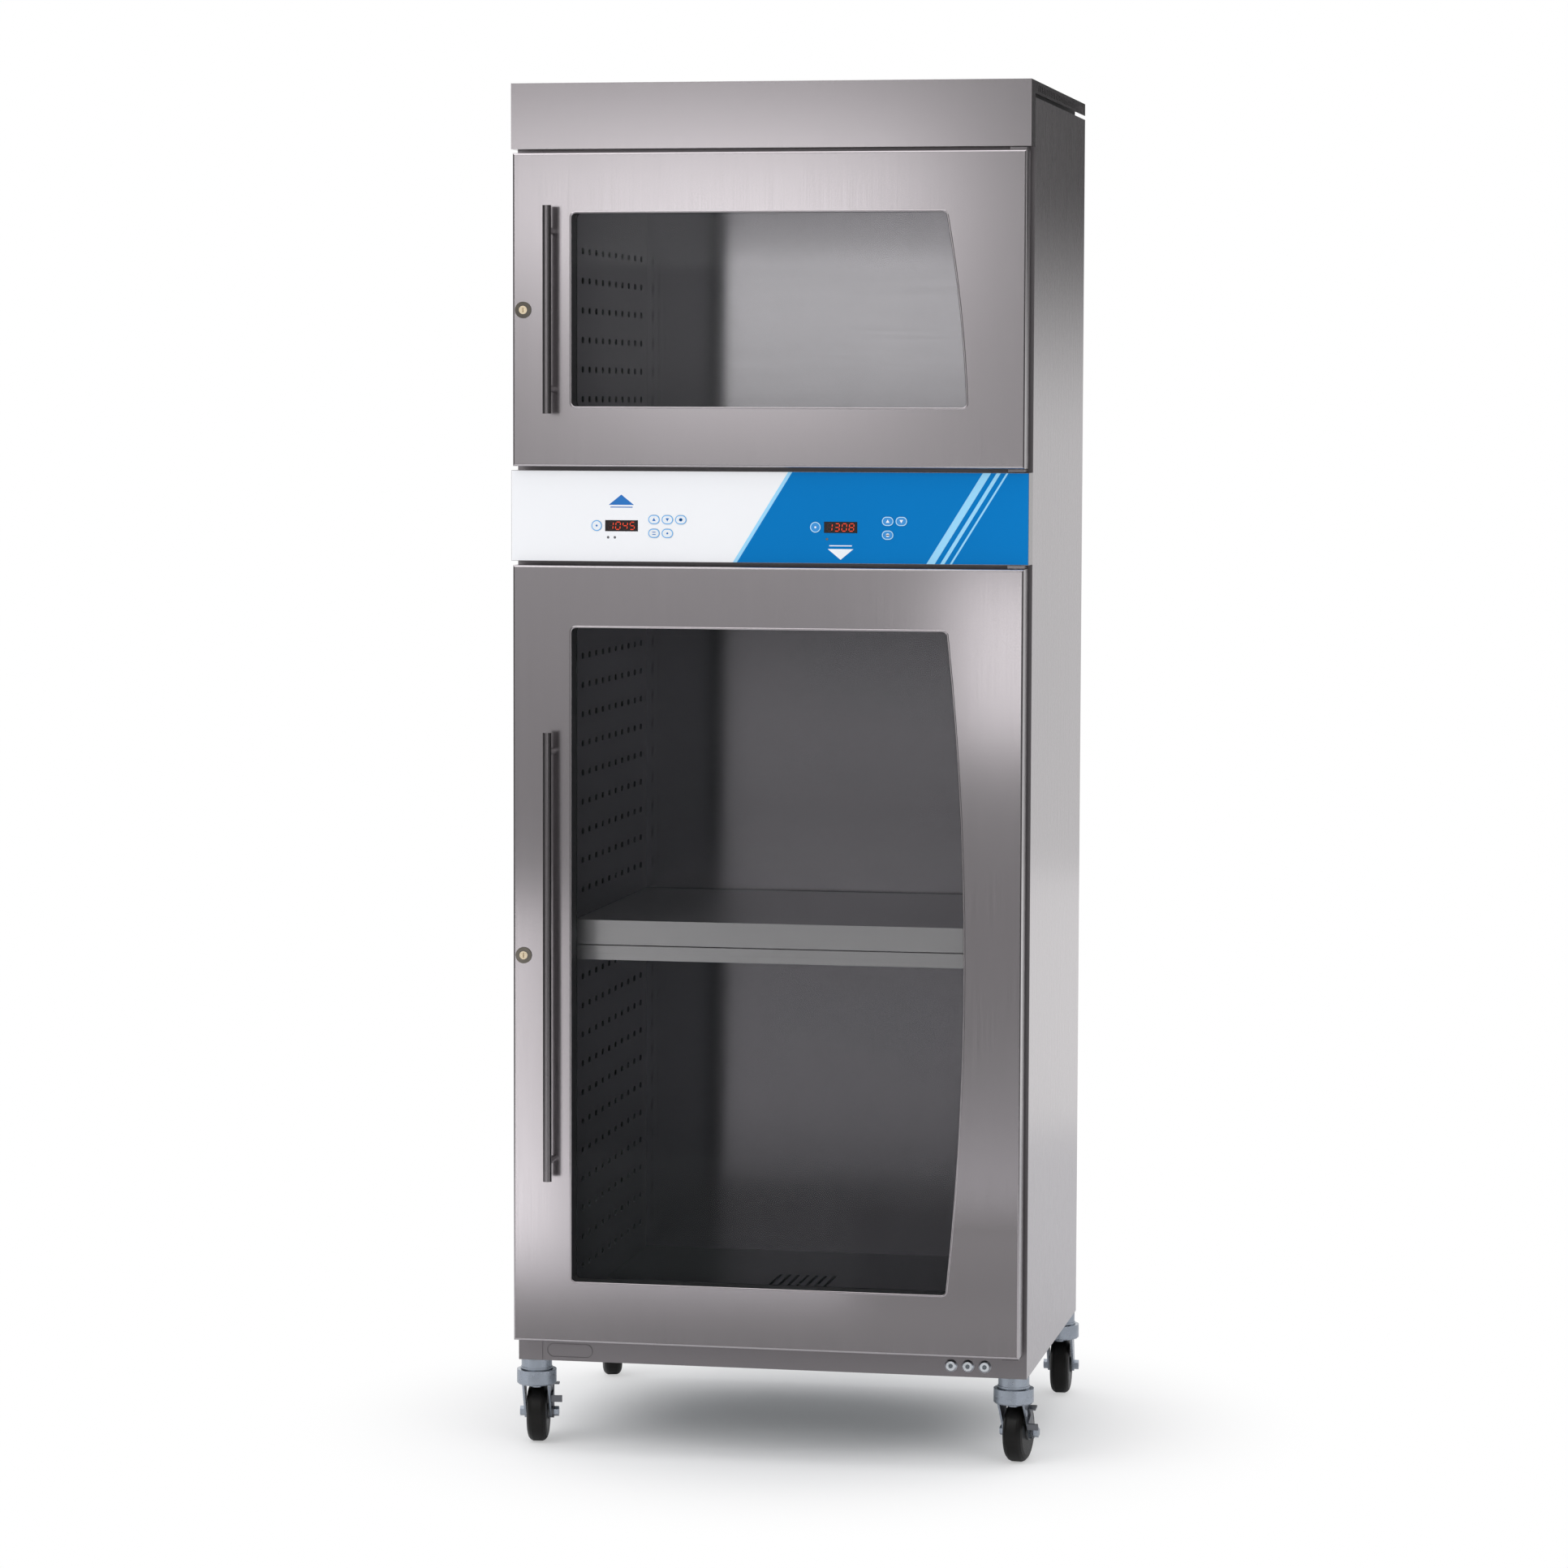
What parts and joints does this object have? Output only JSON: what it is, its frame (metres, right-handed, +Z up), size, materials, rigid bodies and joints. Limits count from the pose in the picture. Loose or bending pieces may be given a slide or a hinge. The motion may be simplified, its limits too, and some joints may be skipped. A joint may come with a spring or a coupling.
{
  "type": "blanket warming cabinet",
  "caption": "Free-standing steel warming cabinet: short chamber over a tall one, glazed doors with bar handles, control panel between them, braked swivel casters.",
  "frame": {"origin": "bottom centre of the bounding box, on the floor under the casters", "axes": "+X to the right seen from the front, +Y from the doors to the back, +Z up"},
  "size_m": [0.7908, 0.697, 2.0125],
  "materials": {
    "steel_sheet": "satin brushed stainless sheet",
    "steel_frame": "satin brushed stainless sheet",
    "liner_steel": "bright annealed stainless sheet",
    "galvanised": "galvanised sheet",
    "handle_steel": "polished stainless bar",
    "chrome": "bright chrome",
    "zinc": "bright zinc plate",
    "glass": "clear toughened glass",
    "seal": "black extruded rubber",
    "overlay": "printed film, light grey with a blue field",
    "key": "satin moulded key",
    "board": "circuit board with display modules",
    "black_plastic": "black moulded plastic",
    "button": "black moulded push button",
    "tyre": "black wheel with a grey hub",
    "lever": "pressed steel lever",
    "brass": "turned brass key plug",
    "wool": "glass wool slabs",
    "heater": "oxidised metal sheath",
    "motor": "motor housing",
    "blower": "pressed sheet"
  },
  "bodies": {
    "cabinet": {"outer_wrap": "steel_sheet", "rear_panel": "galvanised", "front_frame": "steel_frame", "base_pan": "galvanised", "top_cover": "steel_sheet", "upper_liner": "liner_steel", "lower_liner": "liner_steel", "upper_duct_panels": "liner_steel", "lower_duct_panels": "liner_steel", "insulation": "wool", "shelf": "steel_sheet", "shelf_support": "steel_frame", "control_tray": "steel_frame", "control_overlay": "overlay", "control_boards": "board", "heaters": "heater", "blower_motors": "motor", "hinge_brackets": "handle_steel", "breaker_bodies": "chrome", "power_inlet": "black_plastic", "caster_stems": "zinc"},
    "upper_door": {"upper_door_shell": "steel_sheet", "upper_door_glass": "glass", "upper_door_seals": "seal", "upper_handle": "handle_steel", "upper_lock_barrel": "chrome"},
    "upper_lock": {"upper_lock_plug": "brass"},
    "lower_door": {"lower_door_shell": "steel_sheet", "lower_door_glass": "glass", "lower_door_seals": "seal", "lower_handle": "handle_steel", "lower_lock_barrel": "chrome"},
    "lower_lock": {"lower_lock_plug": "brass"},
    "upper_blower_wheel": {"upper_blower_wheel": "blower"},
    "lower_blower_wheel": {"lower_blower_wheel": "blower"},
    "front_left_fork": {"front_left_fork": "zinc"},
    "front_left_wheel": {"front_left_wheel": "tyre"},
    "front_left_brake": {"front_left_brake_lever": "lever"},
    "front_right_fork": {"front_right_fork": "zinc"},
    "front_right_wheel": {"front_right_wheel": "tyre"},
    "front_right_brake": {"front_right_brake_lever": "lever"},
    "rear_right_fork": {"rear_right_fork": "zinc"},
    "rear_right_wheel": {"rear_right_wheel": "tyre"},
    "rear_left_fork": {"rear_left_fork": "zinc"},
    "rear_left_wheel": {"rear_left_wheel": "tyre"},
    "breaker_button_1": {"breaker_button_1": "button"},
    "breaker_button_2": {"breaker_button_2": "button"},
    "breaker_button_3": {"breaker_button_3": "button"},
    "left_key_1": {"left_key_1": "key"},
    "left_key_2": {"left_key_2": "key"},
    "left_key_3": {"left_key_3": "key"},
    "left_key_4": {"left_key_4": "key"},
    "left_key_5": {"left_key_5": "key"},
    "left_power_key": {"left_power_key": "key"},
    "right_key_1": {"right_key_1": "key"},
    "right_key_2": {"right_key_2": "key"},
    "right_key_3": {"right_key_3": "key"},
    "right_power_key": {"right_power_key": "key"}
  },
  "joints": [
    {"name": "upper_door_hinge", "type": "hinge", "parent": "cabinet", "child": "upper_door", "pos_m": [0.36105, -0.28819, 1.4585], "axis": [0, 0, 1], "range_deg": [0, 120]},
    {"name": "upper_lock_turn", "type": "hinge", "parent": "upper_door", "child": "upper_lock", "pos_m": [-0.36095, -0.31419, 1.685], "axis": [0, -1, 0], "range_deg": [0, 90]},
    {"name": "lower_door_hinge", "type": "hinge", "parent": "cabinet", "child": "lower_door", "pos_m": [0.36105, -0.28819, 0.1705], "axis": [0, 0, 1], "range_deg": [0, 120]},
    {"name": "lower_lock_turn", "type": "hinge", "parent": "lower_door", "child": "lower_lock", "pos_m": [-0.36095, -0.31419, 0.7425], "axis": [0, -1, 0], "range_deg": [0, 90]},
    {"name": "upper_blower_spin", "type": "hinge", "parent": "cabinet", "child": "upper_blower_wheel", "pos_m": [-0.00095, -0.00244, 1.4665], "axis": [0, 0, 1], "continuous": true},
    {"name": "lower_blower_spin", "type": "hinge", "parent": "cabinet", "child": "lower_blower_wheel", "pos_m": [-0.00095, -0.00244, 0.1785], "axis": [0, 0, 1], "continuous": true},
    {"name": "front_left_swivel", "type": "hinge", "parent": "cabinet", "child": "front_left_fork", "pos_m": [-0.35995, -0.23919, 0.1145], "axis": [0, 0, 1], "continuous": true},
    {"name": "front_left_axle", "type": "hinge", "parent": "front_left_fork", "child": "front_left_wheel", "pos_m": [-0.36385, -0.21147, 0.0445], "axis": [-0.9903, -0.1392, 0], "continuous": true},
    {"name": "front_left_brake_rock", "type": "hinge", "parent": "front_left_fork", "child": "front_left_brake", "pos_m": [-0.36385, -0.21147, 0.0445], "axis": [0.9903, 0.1392, 0], "range_deg": [0, 25]},
    {"name": "front_right_swivel", "type": "hinge", "parent": "cabinet", "child": "front_right_fork", "pos_m": [0.35805, -0.23919, 0.1145], "axis": [0, 0, 1], "continuous": true},
    {"name": "front_right_axle", "type": "hinge", "parent": "front_right_fork", "child": "front_right_wheel", "pos_m": [0.3617, -0.21143, 0.0445], "axis": [-0.9914, 0.1305, 0], "continuous": true},
    {"name": "front_right_brake_rock", "type": "hinge", "parent": "front_right_fork", "child": "front_right_brake", "pos_m": [0.3617, -0.21143, 0.0445], "axis": [0.9914, -0.1305, 0], "range_deg": [-22, 3]},
    {"name": "rear_right_swivel", "type": "hinge", "parent": "cabinet", "child": "rear_right_fork", "pos_m": [0.35805, 0.27581, 0.1145], "axis": [0, 0, 1], "continuous": true},
    {"name": "rear_right_axle", "type": "hinge", "parent": "rear_right_fork", "child": "rear_right_wheel", "pos_m": [0.35683, 0.30378, 0.0445], "axis": [-0.999, -0.0436, 0], "continuous": true},
    {"name": "rear_left_swivel", "type": "hinge", "parent": "cabinet", "child": "rear_left_fork", "pos_m": [-0.35995, 0.27581, 0.1145], "axis": [0, 0, 1], "continuous": true},
    {"name": "rear_left_axle", "type": "hinge", "parent": "rear_left_fork", "child": "rear_left_wheel", "pos_m": [-0.3672, 0.30285, 0.0445], "axis": [-0.9659, -0.2588, 0], "continuous": true},
    {"name": "breaker_button_1_press", "type": "slide", "parent": "cabinet", "child": "breaker_button_1", "axis": [0, 1, 0], "range_m": [0, 0.0025], "stiffness_N_per_m": 1500, "springref_m": -0.001},
    {"name": "breaker_button_2_press", "type": "slide", "parent": "cabinet", "child": "breaker_button_2", "axis": [0, 1, 0], "range_m": [0, 0.0025], "stiffness_N_per_m": 1500, "springref_m": -0.001},
    {"name": "breaker_button_3_press", "type": "slide", "parent": "cabinet", "child": "breaker_button_3", "axis": [0, 1, 0], "range_m": [0, 0.0025], "stiffness_N_per_m": 1500, "springref_m": -0.001},
    {"name": "left_key_1_press", "type": "slide", "parent": "cabinet", "child": "left_key_1", "axis": [0, 1, 0], "range_m": [0, 0.0005], "stiffness_N_per_m": 2500, "springref_m": -0.0002},
    {"name": "left_key_2_press", "type": "slide", "parent": "cabinet", "child": "left_key_2", "axis": [0, 1, 0], "range_m": [0, 0.0005], "stiffness_N_per_m": 2500, "springref_m": -0.0002},
    {"name": "left_key_3_press", "type": "slide", "parent": "cabinet", "child": "left_key_3", "axis": [0, 1, 0], "range_m": [0, 0.0005], "stiffness_N_per_m": 2500, "springref_m": -0.0002},
    {"name": "left_key_4_press", "type": "slide", "parent": "cabinet", "child": "left_key_4", "axis": [0, 1, 0], "range_m": [0, 0.0005], "stiffness_N_per_m": 2500, "springref_m": -0.0002},
    {"name": "left_key_5_press", "type": "slide", "parent": "cabinet", "child": "left_key_5", "axis": [0, 1, 0], "range_m": [0, 0.0005], "stiffness_N_per_m": 2500, "springref_m": -0.0002},
    {"name": "left_power_key_press", "type": "slide", "parent": "cabinet", "child": "left_power_key", "axis": [0, 1, 0], "range_m": [0, 0.0005], "stiffness_N_per_m": 2500, "springref_m": -0.0002},
    {"name": "right_key_1_press", "type": "slide", "parent": "cabinet", "child": "right_key_1", "axis": [0, 1, 0], "range_m": [0, 0.0005], "stiffness_N_per_m": 2500, "springref_m": -0.0002},
    {"name": "right_key_2_press", "type": "slide", "parent": "cabinet", "child": "right_key_2", "axis": [0, 1, 0], "range_m": [0, 0.0005], "stiffness_N_per_m": 2500, "springref_m": -0.0002},
    {"name": "right_key_3_press", "type": "slide", "parent": "cabinet", "child": "right_key_3", "axis": [0, 1, 0], "range_m": [0, 0.0005], "stiffness_N_per_m": 2500, "springref_m": -0.0002},
    {"name": "right_power_key_press", "type": "slide", "parent": "cabinet", "child": "right_power_key", "axis": [0, 1, 0], "range_m": [0, 0.0005], "stiffness_N_per_m": 2500, "springref_m": -0.0002}
  ]
}
